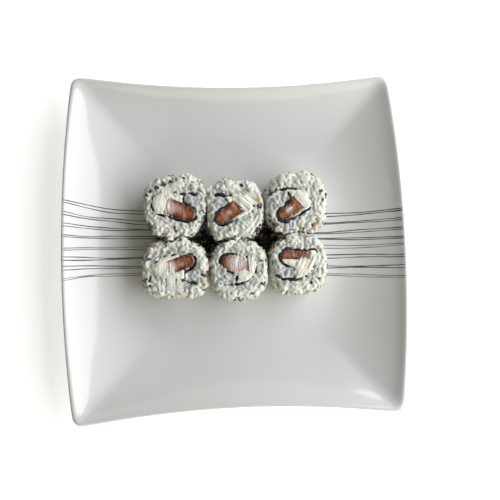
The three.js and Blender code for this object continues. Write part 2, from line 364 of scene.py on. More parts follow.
CLUMP_RISE = 0.8 * MM
CLUMP_REACH = 2.8 * MM
CORE_INSET = 0.9 * MM
CORE_FOOT = 2 * MM
FOOT_REACH = 0.25 * MM
RICE_VOXEL = 0.435 * MM
FACE_WET = 0.8 * MM
SIDE_DRY = 3 * MM
RIM_FROM = 3.8 * MM
RIM_WIDE = 4 * MM
RICE_WET = ((0.31, 0.33, 0.325, 1), (0.62, 0.64, 0.62, 1))
RICE_DRY = ((0.66, 0.655, 0.59, 1), (0.82, 0.82, 0.755, 1))
RICE_PASTE = (0.81, 0.825, 0.80, 1)
# Discs on the plan in millimetres, as x, y and radius. Heaps of loose grains stand in the clumps, the rice
# is paler with starch in the starchy places, and it has run over the nori where that is hidden.
RICE_CLUMPS = {
    1: [
        (-33.5, 45.8, 4.5), (-27, 42.5, 4.5), (-39.6, 41.5, 3.5), (-54, 7, 4.5), (-46, 7, 4),
        (-32.5, 6.5, 4), (-21.8, 35, 3.2), (-21.6, 29, 3), (-22.3, 23, 3),
    ],
    2: [
        (-6.4, 40.8, 5), (9.4, 39.7, 3.5), (-14.4, 3.5, 3.5), (-3, 5, 5), (6, 6, 4),
        (-19.4, 36.5, 3), (-20.4, 30.5, 2.6),
    ],
    3: [
        (48, 46.2, 4.5), (33.5, 42.8, 4), (57.5, 37.9, 3), (27.5, 5.5, 3), (34.5, 6, 3.5),
        (43, 6.5, 4), (51.5, 7.5, 4),
    ],
    4: [
        (-22.7, -14.2, 4), (-30, -33.5, 4.5), (-22.6, -30.7, 4), (-25.8, -34.6, 4), (-38, -6, 3),
        (-47, 2.5, 3.5), (-40, 3.5, 4),
    ],
    5: [(-8.5, -33.7, 5), (-12, -30, 3), (-8, 0.5, 4), (-2, 1.5, 4), (4, 1.5, 4), (9.5, 0.5, 3.5)],
    6: [(23.8, -7.6, 3), (28.2, -32.2, 4.5), (38.5, 3.6, 4), (46.5, 3.6, 4), (53, 1.5, 3)],
}
STARCHY = {
    1: [(-50, 9.5, 5.5), (-32, 44, 6)],
    2: [(-8, 39, 6), (-14, 5, 3)],
    3: [(47, 45, 6), (58, 22, 6)],
    4: [(-28, -33, 7)],
    5: [(-10, -33, 6), (4, -36, 5)],
    6: [(56, -8, 7), (30, -33, 5)],
}
NORI_HIDDEN = {
    1: [(-45, 34.5, 7), (-51, 36.4, 4)],
    2: [(3.5, 17.6, 6), (8.5, 21, 6), (6.5, 32.6, 8), (-1.9, 15, 2.5)],
    3: [(43.2, 16.7, 2.5)],
    4: [(-54.5, -16.8, 7), (-47.8, -23, 8), (-40.6, -6.3, 3.5), (-28, -26.1, 2.2), (-51, -8.6, 6.5)],
    5: [(11.8, -11.7, 7), (7.5, -23.3, 5), (2.7, -8.6, 4), (-10.2, -17.2, 3), (-2.5, -21.3, 2.2)],
    6: [(50.8, -18, 8), (45.2, -24.9, 5), (54.5, -11.8, 4.5)],
}
# The middle of the tongue of rice between the tail of each nori and its loop, and how far it reaches.
TONGUES = {1: (-29, 30), 2: (-11, 30.5), 3: (29.5, 27), 4: (-30, -21.5), 5: (-11, -21.5), 6: (29, -19.5)}
TONGUE_REACH = 9


def nearness(x, y, middle_x, middle_y, radius):
    """How near a place is to a disc's middle: 1 is there, 0 is on its edge, and less is outside."""
    return 1 - math.hypot(x - middle_x * MM, y - middle_y * MM) / (radius * MM)


def covered(number, x, y):
    """How far the rice and the cheese have run over the nori: 1 is wholly, 0 is not at all."""
    return min(1, max([0, *(1.6 * nearness(x, y, *disc) for disc in NORI_HIDDEN[number])]))


def softened(level):
    """Presses what stands over the cut faces down, the higher the more, and never past the ceiling."""
    room = CEILING - PRESS_FROM
    over = level - PRESS_FROM
    return PRESS_FROM + room * np.tanh(np.maximum(over, 0) / room) + np.minimum(over, 0)


def tree_of(*pieces):
    """A search tree of meshes, for casting rays on them."""
    points, faces = [], []
    for piece in pieces:
        first = len(points)
        points += [vertex.co[:] for vertex in piece.data.vertices]
        faces += [[first + i for i in polygon.vertices] for polygon in piece.data.polygons]
    return BVHTree.FromPolygons(points, faces)


def points_of(piece):
    """A piece's points as an array."""
    flat = np.empty(3 * len(piece.data.vertices), np.float32)
    piece.data.vertices.foreach_get("co", flat)
    return flat.reshape(-1, 3)


def paint(piece, layer, values):
    """Writes one number for each point, which the material reads by the layer's name."""
    attributes = piece.data.attributes
    if layer in attributes:
        attributes.remove(attributes[layer])
    attribute = attributes.new(layer, "FLOAT", "POINT")
    attribute.data.foreach_set("value", np.array(values, np.float32))


def painted(tree, layer):
    """The number that was painted on each point."""
    return add_node(tree, "Attribute", {}, attribute_name=layer).outputs["Fac"]


def scaled_sum(tree, value, factor, added):
    """A value times a factor, and something added."""
    return add_node(tree, "Math", {0: value, 1: factor, 2: added}, operation="MULTIPLY_ADD").outputs[0]


def seed_shape(name, taper, bend):
    """A small closed body, one unit long and wide, that tapers towards +x and bends towards +y."""
    bpy.ops.object.select_all(action="DESELECT")
    bpy.ops.mesh.primitive_uv_sphere_add(
        segments=8, ring_count=6, radius=0.5, rotation=(0, math.pi / 2, 0)
    )
    bpy.ops.object.transform_apply(location=False, rotation=True, scale=False)
    shape = bpy.context.object
    shape.name = name
    for vertex in shape.data.vertices:
        x, y, z = vertex.co
        fat = 1 - taper * (x + 0.5)
        vertex.co = (x, y * fat + bend * (0.25 - x * x), z * fat)
    points = np.array([vertex.co[:] for vertex in shape.data.vertices])
    faces = [list(polygon.vertices) for polygon in shape.data.polygons]
    bpy.data.objects.remove(shape)
    return points, faces


def scatter(name, shapes, spots):
    """One mesh of many small bodies. A spot is (place, outward normal, direction, three sizes, tone)."""
    points, faces, tones = [], [], []
    count = 0
    for k, (place, normal, along, size, tone) in enumerate(spots):
        shape, shape_faces = shapes[k % len(shapes)]
        along = (along - normal * along.dot(normal)).normalized()
        axes = np.array([along, normal.cross(along), normal])
        points.append((shape * np.array(size)) @ axes + np.array(place))
        faces += [[count + i for i in face] for face in shape_faces]
        tones += [tone] * len(shape)
        count += len(shape)
    mesh = bpy.data.meshes.new(name)
    mesh.from_pydata(np.concatenate(points).tolist(), [], faces)
    piece = bpy.data.objects.new(name, mesh)
    bpy.context.scene.collection.objects.link(piece)
    paint(piece, "tone", tones)
    return piece


def darts(draw, low, high, spacing, tries):
    """Points at random in a rectangle, none nearer to another than the spacing."""
    cells, kept = {}, []
    for _ in range(tries):
        u, v = draw.uniform(low[0], high[0]), draw.uniform(low[1], high[1])
        i, j = int(u // spacing), int(v // spacing)
        near = [p for a in (-1, 0, 1) for b in (-1, 0, 1) for p in cells.get((i + a, j + b), [])]
        if all((u - p[0]) ** 2 + (v - p[1]) ** 2 > spacing**2 for p in near):
            cells.setdefault((i, j), []).append((u, v))
            kept.append((u, v))
    return kept


def in_disc(draw, x, y, radius):
    """A place at random in a disc."""
    angle = draw.uniform(0, math.tau)
    away = radius * MM * math.sqrt(draw.uniform(0, 1))
    return x * MM + away * math.cos(angle), y * MM + away * math.sin(angle)


def grain_size(draw, share=1.0):
    """Length, width and thickness of one grain, as uneven as boiled grains are."""
    long = GRAIN_LONG * draw.uniform(0.7, 1.1) * share
    wide = GRAIN_WIDE * draw.uniform(0.85, 1.15)
    return long, wide, wide * draw.uniform(0.75, 0.95)


def lean_of(draw, normal):
    """A direction at random in the plane of a surface."""
    angle = draw.uniform(0, math.tau)
    side = normal.orthogonal().normalized()
    return side * math.cos(angle) + normal.cross(side) * math.sin(angle)


def face_spots(draw, number, rice, nori, low, high):
    """Places for a cut face's grains. Beside the nori they lie along it, or across it where it is hidden."""
    spots = []
    for x, y in darts(draw, low.xy, high.xy, FACE_SPACING, GRAIN_TRIES):
        hit, normal, _, _ = rice.ray_cast(Vector((x, y, high.z + RAY_ABOVE)), DOWN)
        _, sheet_normal, _, gap = nori.find_nearest(Vector((x, y, high.z - FACE_DEPTH)))
        if hit is None or hit.z < high.z - FACE_DEPTH:
            if gap < BRIDGE_GAP and covered(number, x, y) > BRIDGE_COVER:
                place = Vector((x, y, high.z - BRIDGE_SUNK))
                spots.append((place, -DOWN, lean_of(draw, -DOWN), grain_size(draw, 0.9), 0))
            continue
        if normal.z < 0.45:
            continue
        bare = (0.45 + 1.3 * noise.noise(hit * 240)) * (1 - covered(number, x, y)) * MM
        if gap < bare:
            continue
        beside = gap < BESIDE_NORI
        along = -DOWN.cross(sheet_normal).normalized() if beside else lean_of(draw, normal)
        size = grain_size(draw, 0.75 if beside else 1.0)
        swell = 0.55 * MM * noise.noise(hit * 170)
        sunk = size[2] * draw.uniform(0.15, 0.6) - swell
        spots.append((hit - normal * sunk, normal, along, size, 0))
    return spots


def side_hits(draw, body, box, levels, spacing, tries, start, facing):
    """Places all round the outside of a roll and their normals, by rays that start outside and run in."""
    low, high = box
    centre = (low + high) / 2
    radius = (high.x - low.x + high.y - low.y) / 4
    for arc, level in darts(draw, (0, levels[0]), (math.tau * radius, levels[1]), spacing, tries):
        angle = arc / radius
        outward = Vector((math.cos(angle), math.sin(angle), 0))
        aim = Vector((centre.x, centre.y, level)) + outward * radius * start
        hit, normal, _, _ = body.ray_cast(aim, -outward)
        if hit is not None and normal.dot(outward) >= facing:
            yield hit, normal


def side_spots(draw, rice, low, high):
    """Places for the grains on the outside of a roll, from the plate up to the edge of its cut face."""
    spots = []
    levels = (low.z, high.z - 0.5 * MM)
    for hit, normal in side_hits(draw, rice, (low, high), levels, SIDE_SPACING, GRAIN_TRIES, 2, 0.2):
        size = grain_size(draw)
        swell = 0.5 * MM * noise.noise(hit * 120)
        sunk = size[2] * draw.uniform(0.05, 0.35) - swell
        spots.append((hit - normal * sunk, normal, lean_of(draw, normal), size, 0))
    return spots


def clump_spots(draw, number, rice, high):
    """Places for the loose grains that stand up in heaps on the edge of a roll."""
    spots = []
    for x, y, radius in RICE_CLUMPS[number]:
        for _ in range(int(radius * CLUMP_FILL)):
            aim = Vector((*in_disc(draw, x, y, radius), high.z + draw.uniform(-5, 0.5) * MM))
            hit, normal, _, _ = rice.find_nearest(aim)
            away = min(CLUMP_REACH, max(CLUMP_RISE, (aim - hit).dot(normal)))
            rise = away * draw.uniform(0.3, 1)
            spots.append((hit + normal * rise, normal, lean_of(draw, normal), grain_size(draw, 0.9), 0))
    return spots


def rice_tones(number, points, nori, low, high):
    """Pale and dry on the rim and the sides, grey and wet on the cut face, and most so on the tongue."""
    tones = []
    for point in points:
        place = Vector(point.tolist())
        _, _, _, gap = nori.find_nearest(Vector((place.x, place.y, (low.z + high.z) / 2)))
        below = (high.z - FACE_WET - place.z) / SIDE_DRY
        rim = (gap - RIM_FROM) / RIM_WIDE
        tongue = max(0, nearness(place.x, place.y, *TONGUES[number], TONGUE_REACH))
        starch = max([0, *(1.4 * nearness(place.x, place.y, *disc) for disc in STARCHY[number])])
        tone = max(below, rim) + 0.3 - tongue + 0.6 * starch + 0.6 * noise.noise(place * 190)
        tones.append(min(1.1, max(-0.3, tone)))
    return tones


rice_finish, tree, shader = new_material(
    "boiled_rice",
    {
        "Subsurface Weight": 0.5,
        "Subsurface Radius": (1.0, 0.95, 0.9),
        "Subsurface Scale": 0.7 * MM,
        "IOR": 1.42,
        "Coat Weight": 0.3,
        "Coat Roughness": 0.12,
    },
)
place = place_on(tree)
mottle = cloudy(tree, place, 330, 4, 0.6)
bent = add_node(tree, "TexNoise", {"Vector": place, "Scale": 260, "Detail": 2}).outputs["Color"]
shifted = add_node(tree, "VectorMath", {0: bent, 1: (2.4 * MM,) * 3, 2: place}, operation="MULTIPLY_ADD")
grain = add_node(tree, "TexVoronoi", {"Vector": shifted.outputs["Vector"], "Scale": 290})
each = add_node(tree, "SeparateColor", {"Color": grain.outputs["Color"]}).outputs["Red"]
share = remapped(tree, scaled_sum(tree, each, 0.9, painted(tree, "tone")), of=(0.2, 1.25))
plain = mixed(tree, share, mixed(tree, mottle, *RICE_WET), mixed(tree, mottle, *RICE_DRY))
paste = remapped(tree, cloudy(tree, place, 520, 3, 0.6, 0.6), of=(0.53, 0.62), to=(0, 0.6))
tint = mixed(tree, paste, plain, RICE_PASTE)
gloss = remapped(tree, mottle, to=(0.2, 0.45))
grit = bumped(tree, cloudy(tree, place, 900, 3), 0.5, 0.3 * MM)
wire(tree, shader, {"Base Color": tint, "Roughness": gloss, "Normal": grit})

grain_shapes = [seed_shape(f"grain_{k}", taper, bend) for k, (taper, bend) in enumerate(GRAIN_FORMS)]
rice_rolls = {}
for number in ROLLS:
    draw = np.random.default_rng(20 + number)
    low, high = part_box(f"rice_{number}")
    rice_solid = tree_of(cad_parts[f"rice_{number}"])
    nori_solid = tree_of(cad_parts[f"nori_{number}"])
    core = merged_copy(f"rice_{number}", f"rice_core_{number}")
    apply_modifier(core, "DISPLACE", strength=-CORE_INSET, mid_level=0)
    for vertex in core.data.vertices:
        if vertex.co.z < low.z + CORE_FOOT:
            vertex.co.z = low.z
    spots = face_spots(draw, number, rice_solid, nori_solid, low, high)
    spots += side_spots(draw, rice_solid, low, high)
    spots += clump_spots(draw, number, rice_solid, high)
    roll = joined(scatter(f"rice_roll_{number}", grain_shapes, spots), core)
    apply_modifier(roll, "REMESH", mode="VOXEL", voxel_size=RICE_VOXEL)
    apply_modifier(roll, "SMOOTH", factor=0.5, iterations=1)
    points = points_of(roll)
    points[:, 2] = np.maximum(softened(points[:, 2]), low.z - FOOT_REACH)
    roll.data.vertices.foreach_set("co", points.ravel())
    paint(roll, "tone", rice_tones(number, points, nori_solid, low, high))
    finished(roll, rice_finish, "rice", f"rice_{number}")
    rice_rolls[number] = roll

# The nori is one toasted sheet to a roll, gone soft and black with damp. It is rolled up inside the rice,
# and the knife leaves its edge ragged. Rice and cheese have run over it in places.
NORI_THICK = 0.5 * MM
NORI_SWELL = 0.3 * MM
NORI_SEED = 5
NORI_ROWS = (0.4, 0.4, 0.17, 0.03)
NORI_DIP = 2.2
RAGGED_FROM = 1 * MM
NORI_BLACK = ((0.004, 0.006, 0.006, 1), (0.03, 0.038, 0.03, 1))


def sheet_course(node):
    """The line that a sheet follows in plan: halfway between the two sides of its CAD solid's top face."""
    solid = bmesh.new()
    solid.from_mesh(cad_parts[node].data)
    bmesh.ops.remove_doubles(solid, verts=solid.verts, dist=WELD)
    top = max(vertex.co.z for vertex in solid.verts)
    caps = {face for face in solid.faces if all(abs(v.co.z - top) < 0.01 * MM for v in face.verts)}
    border = [e for e in solid.edges if len([f for f in e.link_faces if f in caps]) == 1]
    ends = sorted(border, key=lambda edge: edge.calc_length())[:2]
    sides = []
    for vertex in ends[0].verts:
        path, last = [vertex], ends[0]
        while last is not None:
            near = [e for e in border if path[-1] in e.verts and e not in ends and e is not last]
            last = near[0] if near else None
            if near:
                path.append(last.other_vert(path[-1]))
        sides.append([Vector(v.co) for v in path])
    course = [(a + b) / 2 for a, b in zip(*sides)]
    solid.free()
    return course


nori_finish, tree, shader = new_material(
    "damp_nori", {"IOR": 1.45, "Coat Weight": 0.3, "Coat Roughness": 0.25}
)
fibre = cloudy(tree, place_on(tree), 700, 5, 0.7)
tint = mixed(tree, fibre, *NORI_BLACK)
gloss = remapped(tree, fibre, to=(0.3, 0.7))
wire(tree, shader, {"Base Color": tint, "Roughness": gloss, "Normal": bumped(tree, fibre, 0.5, 0.2 * MM)})

# Without a seed, noise_vector takes its offsets from the clock.
noise.seed_set(NORI_SEED)
nori_sheets = {}
for number in ROLLS:
    low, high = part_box(f"nori_{number}")
    course = sheet_course(f"nori_{number}")
    mesh = bpy.data.meshes.new(f"nori_sheet_{number}")
    steps = [(i, i + 1) for i in range(len(course) - 1)]
    mesh.from_pydata([(p.x, p.y, low.z) for p in course], steps, [])
    sheet = bpy.data.objects.new(mesh.name, mesh)
    bpy.context.scene.collection.objects.link(sheet)
    select_only(sheet)
    bpy.ops.object.mode_set(mode="EDIT")
    bpy.ops.mesh.select_all(action="SELECT")
    for share in NORI_ROWS:
        rise = (0, 0, (high.z - low.z) * share)
        bpy.ops.mesh.extrude_region_move(TRANSFORM_OT_translate={"value": rise})
    bpy.ops.mesh.select_all(action="SELECT")
    bpy.ops.mesh.normals_make_consistent(inside=False)
    bpy.ops.object.mode_set(mode="OBJECT")
    apply_modifier(sheet, "SOLIDIFY", thickness=NORI_THICK, offset=0)
    apply_modifier(sheet, "SUBSURF", levels=2, render_levels=2)
    for vertex in sheet.data.vertices:
        rough = noise.noise_vector(vertex.co * 420)
        wave = noise.noise_vector(vertex.co * 140)
        plump = NORI_SWELL * max(0, 0.35 + 1.3 * noise.noise(vertex.co * 230))
        vertex.co.xy += rough.xy * 0.3 * MM + wave.xy * 0.4 * MM + vertex.normal.xy * plump
        if vertex.co.z > high.z - RAGGED_FROM:
            dip = NORI_DIP * covered(number, vertex.co.x, vertex.co.y)
            vertex.co.z += (-0.1 + 0.9 * rough.z + 1.2 * wave.z - dip) * MM
    finished(sheet, nori_finish, "nori", f"nori_{number}")
    nori_sheets[number] = sheet

# The salmon is a strip of raw fillet, cut square with the grain of the fish across it, and slightly swollen
# where the knife went through. White lines of fat cross it, and a film of cream cheese is dragged over some
# of the cut ends. Each film is a disc on the plan, as x, y, radius and strength.
SALMON_FILM = {
    1: [(-47, 25.7, 7.5, 1), (-39.5, 24.5, 5, 0.45)],
    2: [(-5, 21.5, 10, 0.15), (-5.2, 21.3, 3, 0.5)],
    3: [(36.3, 22.2, 4.5, 0.6), (31, 17.5, 4, 0.2)],
    4: [(-47.5, -15.3, 6, 1), (-40, -13, 8, 0.15), (-38.2, -13.8, 2, 0.4)],
    5: [(1, -14, 13, 0.95), (-0.5, -13.5, 6, 0.4)],
    6: [(33.4, -8.8, 4, 0.25), (40.5, -7.2, 4, 0.2)],
}
# The flesh is painted darker near the strip's walls, a painted shade where the nori and the rice shade its
# edges. This is how far in that shade reaches.
SALMON_SHADE_RIM = 4 * MM
SALMON_VOXEL = 0.6 * MM
SALMON_GROW = 0.6 * MM
SALMON_ROUGH = 0.7 * MM
# The dark end of this pair is the flesh's own deeper red, and also the painted shade along the strip's
# edges.
SALMON_RED_AND_SHADE = ((0.055, 0.015, 0.009, 1), (0.46, 0.175, 0.075, 1))
SALMON_FAT = (0.62, 0.40, 0.30, 1)
FILM_PINK = (0.70, 0.56, 0.53, 1)
salmon_finish, tree, shader = new_material(
    "raw_salmon",
    {
        "Subsurface Weight": 0.3,
        "Subsurface Radius": (1.0, 0.4, 0.25),
        "Subsurface Scale": 1.2 * MM,
        "Coat Weight": 0.8,
        "Coat Roughness": 0.07,
    },
)
place = place_on(tree)
strip = add_node(tree, "Attribute", {}, attribute_name="strip").outputs["Vector"]
flesh = cloudy(tree, place, 170, 4, 0.6)
# Near the walls the flesh turns to the dark red: painted shade along the strip's edges, mixed with the
# flesh's own cloudy tone.
flesh_and_edge_shade = scaled_sum(tree, painted(tree, "clear_of_edge_shade"), 0.6, flesh)
red = mixed(tree, remapped(tree, flesh_and_edge_shade, of=(0.45, 1.3)), *SALMON_RED_AND_SHADE)
fat = add_node(
    tree,
    "TexWave",
    {"Vector": strip, "Scale": 36, "Distortion": 11, "Detail": 3, "Detail Scale": 0.9},
    bands_direction="X",
).outputs["Fac"]
marbled = mixed(tree, remapped(tree, fat, of=(0.85, 1), to=(0, 0.25)), red, SALMON_FAT)
drag = add_node(tree, "Mapping", {"Vector": place, "Scale": (1100, 90, 200)}).outputs["Vector"]
film = scaled_sum(tree, painted(tree, "film"), 1.15, -0.37)
dragged = scaled_sum(tree, cloudy(tree, drag, 1, 3), 1.5, film)
spread = scaled_sum(tree, cloudy(tree, place, 120, 4, 0.6), 0.9, dragged)
milky = remapped(tree, spread, of=(1.02, 1.75), to=(0, 0.9))
tint = mixed(tree, milky, marbled, FILM_PINK)
gloss = remapped(tree, flesh, to=(0.15, 0.35))
wet = bumped(tree, cloudy(tree, place, 480, 3), 0.8, 0.4 * MM)
wire(tree, shader, {"Base Color": tint, "Roughness": gloss, "Normal": wet})


def soft_body(node, name, grow, rough, pitch, voxel):
    """A soft filling from its CAD solid: remeshed, grown to touch what is round it, and made uneven."""
    body = merged_copy(node, name)
    apply_modifier(body, "REMESH", mode="VOXEL", voxel_size=voxel)
    apply_modifier(body, "SMOOTH", factor=0.6, iterations=3)
    apply_modifier(body, "DISPLACE", strength=grow, mid_level=0)
    for vertex in body.data.vertices:
        fine = 0.18 * MM * noise.noise(vertex.co * 700)
        vertex.co.z += rough * noise.fractal(vertex.co * pitch, 0.8, 2.0, 3) + fine
    return body


def film_at(number, x, y):
    """How much cheese is dragged over the salmon at a place."""
    return sum(s * max(0, 1.3 * nearness(x, y, a, b, r)) for a, b, r, s in SALMON_FILM[number])


salmon_strips = {}
for number in ROLLS:
    block = soft_body(
        f"salmon_{number}", f"salmon_strip_{number}", SALMON_GROW, SALMON_ROUGH, 150, SALMON_VOXEL
    )
    points = points_of(block)
    middle = points.mean(axis=0)
    _, _, axes = np.linalg.svd((points - middle)[::7, :2], full_matrices=False)
    strip_layer = block.data.attributes.new("strip", "FLOAT_VECTOR", "POINT")
    strip_layer.data.foreach_set("vector", np.c_[(points - middle)[:, :2] @ axes.T, points[:, 2]].ravel())
    paint(block, "film", [film_at(number, x, y) for x, y, _ in points.tolist()])
    low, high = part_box(f"salmon_{number}")
    walls = tree_of(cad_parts[f"salmon_{number}"])
    halfway = (low.z + high.z) / 2
    gaps = [walls.find_nearest(Vector((x, y, halfway)))[3] for x, y, _ in points.tolist()]
    # 0 at the walls and 1 further in: the painted shade along the salmon's edges.
    paint(block, "clear_of_edge_shade", [min(1, gap / SALMON_SHADE_RIM) for gap in gaps])
    finished(block, salmon_finish, "salmon", f"salmon_{number}")
    salmon_strips[number] = block

# The cream cheese is spread along the salmon before the roll is closed. It fills the rest of the nori, and
# the knife drags it in ridges over the edge of the nori, the salmon and the rice. Each stroke of the knife
# has a place, half its length and width, its turn, its thickness and how well it covers, from 0 to 1.
SMEARS = {
    1: [
        (-53, 28.5, 8, 4.3, 80, 0.9, 0.95),
        (-46, 37.5, 8, 8.5, 95, 0.7, 0.6),
        (-47.6, 26, 6, 3.2, 92, 0.3, 0.25),
    ],
    2: [(6, 29, 8, 6.5, -40, 0.9, 0.9), (1, 31.5, 5, 4, 20, 0.6, 0.7)],
    3: [(46.5, 29.5, 8, 4.5, -55, 0.8, 0.9), (36.8, 22.8, 4, 1.5, 25, 0.3, 0.3)],
    4: [
        (-45.8, -22.8, 9, 7.5, 92, 0.3, 0.68),
        (-54, -14.5, 7, 5, 75, 0.8, 0.85),
        (-46.5, -15.5, 5, 5, 88, 0.22, 0.34),
    ],
    5: [
        (-0.8, -13, 8, 5, 88, 0.22, 0.42),
        (9, -14, 8, 3, 92, 0.9, 0.9),
        (3, -22.3, 5, 4, 30, 0.8, 0.85),
    ],
    6: [(43.5, -18.2, 7.5, 5.5, 60, 0.8, 0.9), (50.5, -15.5, 8, 1.6, 62, 1.1, 0.95)],
}
SMEAR_STEP = 0.36 * MM
SMEAR_SKIN = 1.1 * MM
SMEAR_DEEPEST = 9 * MM
SMEAR_BROKEN = 4 * MM
SMEAR_SINK = 0.3 * MM
THIN_SMEAR = 0.5
THIN_RIDGES = (2.2, 1.2)
THICK_RIDGES = (0.8, 0.9)
CLOSE_TURNS = 4
SMOOTH_TURNS = 3
CHEESE_VOXEL = 0.5 * MM
CHEESE_GROW = 0.5 * MM
CHEESE_ROUGH = 0.6 * MM
CREAM = ((0.82, 0.80, 0.685, 1), (0.93, 0.92, 0.84, 1))
CREAM_THIN = (0.62, 0.635, 0.61, 1)
cheese_finish, tree, shader = new_material(
    "cream_cheese",
    {
        "Subsurface Weight": 0.2,
        "Subsurface Radius": (1.0, 0.9, 0.7),
        "Subsurface Scale": 0.4 * MM,
        "Coat Weight": 0.2,
        "Coat Roughness": 0.2,
    },
)
drag = add_node(tree, "Mapping", {"Vector": place_on(tree), "Scale": (700, 120, 200)}).outputs["Vector"]
ridge = cloudy(tree, drag, 1, 4)
tint = mixed(tree, painted(tree, "thin"), mixed(tree, ridge, *CREAM), CREAM_THIN)
gloss = remapped(tree, ridge, to=(0.5, 0.3))
wire(tree, shader, {"Base Color": tint, "Roughness": gloss, "Normal": bumped(tree, ridge, 0.2, 0.2 * MM)})


def neighbours(grid):
    """The values before, after, left and right of each place of a grid, with its edge repeated."""
    edge = np.pad(grid, 1, mode="edge")
    return edge[:-2, 1:-1], edge[2:, 1:-1], edge[1:-1, :-2], edge[1:-1, 2:]


def bed_of(ground, top, plan, grid_shape):
    """How high cheese lies at each place of a stroke: over the dips that are too narrow for it to fill."""
    level = np.empty(len(plan))
    for k, (x, y) in enumerate(plan):
        hit = ground.ray_cast(Vector((x, y, top + RAY_ABOVE)), DOWN)[0]
        level[k] = top - SMEAR_DEEPEST if hit is None else max(hit.z, top - SMEAR_DEEPEST)
    soft = level.reshape(grid_shape)
    for widest in [np.maximum] * CLOSE_TURNS + [np.minimum] * CLOSE_TURNS:
        soft = widest.reduce([*neighbours(soft), soft])
    for _ in range(SMOOTH_TURNS):
        soft = (sum(neighbours(soft)) + 2 * soft) / 6
    return np.maximum(soft.ravel(), level - SMEAR_SINK)


def smear(ground, top, x, y, long, wide, turn, thick, cover):
    """One stroke of cheese on what is under it: ridged along the stroke, with holes where it runs thin."""
    columns, rows = int(2 * long * MM / SMEAR_STEP), int(2 * wide * MM / SMEAR_STEP)
    bpy.ops.object.select_all(action="DESELECT")
    bpy.ops.mesh.primitive_grid_add(x_subdivisions=columns, y_subdivisions=rows, size=2)
    stroke = bpy.context.object
    along = Vector((math.cos(math.radians(turn)), math.sin(math.radians(turn))))
    across = Vector((-along.y, along.x))
    flat = points_of(stroke)
    plan = np.array([x, y]) * MM + flat[:, :1] * long * MM * np.array(along)
    plan = plan + flat[:, 1:2] * wide * MM * np.array(across)
    level = bed_of(ground, top, plan, (rows + 1, columns + 1))
    gone, thin = [], []
    pitch, depth = THIN_RIDGES if thick < THIN_SMEAR else THICK_RIDGES
    for k, vertex in enumerate(stroke.data.vertices):
        u, v = flat[k, 0], flat[k, 1]
        ridges = noise.fractal(Vector((u * long * 0.09, v * wide * pitch, x)), 0.7, 2.0, 3)
        ragged = noise.noise(Vector((u * 2.5, v * 2.5, y)))
        body = 1.5 * (1 - u * u - v * v) + depth * ridges + 0.5 * ragged - 1.6 * (1 - cover)
        if body < -0.1 or level[k] < top - SMEAR_BROKEN:
            gone.append(k)
        thin.append(max(0, min(1, 1 - 1.6 * body)))
        height = level[k] + thick * MM * min(1.3, max(-0.25, 0.6 * body))
        vertex.co = (*plan[k], softened(height))
    paint(stroke, "thin", thin)
    drop_points(stroke, gone)
    apply_modifier(stroke, "SOLIDIFY", thickness=SMEAR_SKIN, offset=-1)
    return stroke


cheese_fills = {}
for number in ROLLS:
    filling = soft_body(
        f"cheese_{number}", f"cheese_fill_{number}", CHEESE_GROW, CHEESE_ROUGH, 260, CHEESE_VOXEL
    )
    ground = tree_of(rice_rolls[number], nori_sheets[number], salmon_strips[number], filling)
    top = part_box(f"rice_{number}")[1].z
    strokes = [smear(ground, top, *values) for values in SMEARS[number]]
    finished(joined(filling, *strokes), cheese_finish, "cream_cheese", f"cheese_{number}")
    cheese_fills[number] = filling

# The rolls are turned in toasted sesame before they are cut, black and golden seeds together. They stick to
# the outside, most of them round the edges, a few are dragged on to the cut faces, and others have fallen
# on the plate between the rolls. The black seeds are packed thickest in the deep gaps between the rolls and
# on their far left, where they also stand as painted shade. Each place is a disc on the plan, as x, y,
# radius and number of seeds.
SESAME_LONG = 3.5 * MM
SESAME_WIDE = 2.0 * MM
SESAME_THICK = 0.95 * MM
SESAME_PROUD = 0.12 * MM
SESAME_TAPER = 0.45
SESAME_ABOVE = 9 * MM
SESAME_SEED = {"black": 7, "golden": 8}
SESAME_SHARE = {"black": 0.82, "golden": 0.18}
SIDE_SPREAD = 2.7 * MM
SIDE_MARGIN = 2 * MM
SIDE_TRIES = 3000
# Mostly black seeds heaped on the plate in the gaps between the rolls: fallen seeds, and a painted shade
# that darkens those gaps.
SHARE_OF_GAP_SEEDS_AND_SHADE = {"black": 0.82, "golden": 0.06}
GAP_SEEDS_AND_SHADE = [
    (-21, 4, 9, 110), (20.5, 5, 10.5, 170), (-21.5, -14, 3, 16), (20.5, -14, 3, 14), (-52, 5, 7, 24),
    (-36, 5, 8, 30), (0, 1, 8, 24), (36, 5, 8, 30), (50, 5, 5, 14), (-20, 20, 3, 10), (20, 22, 3, 10),
]
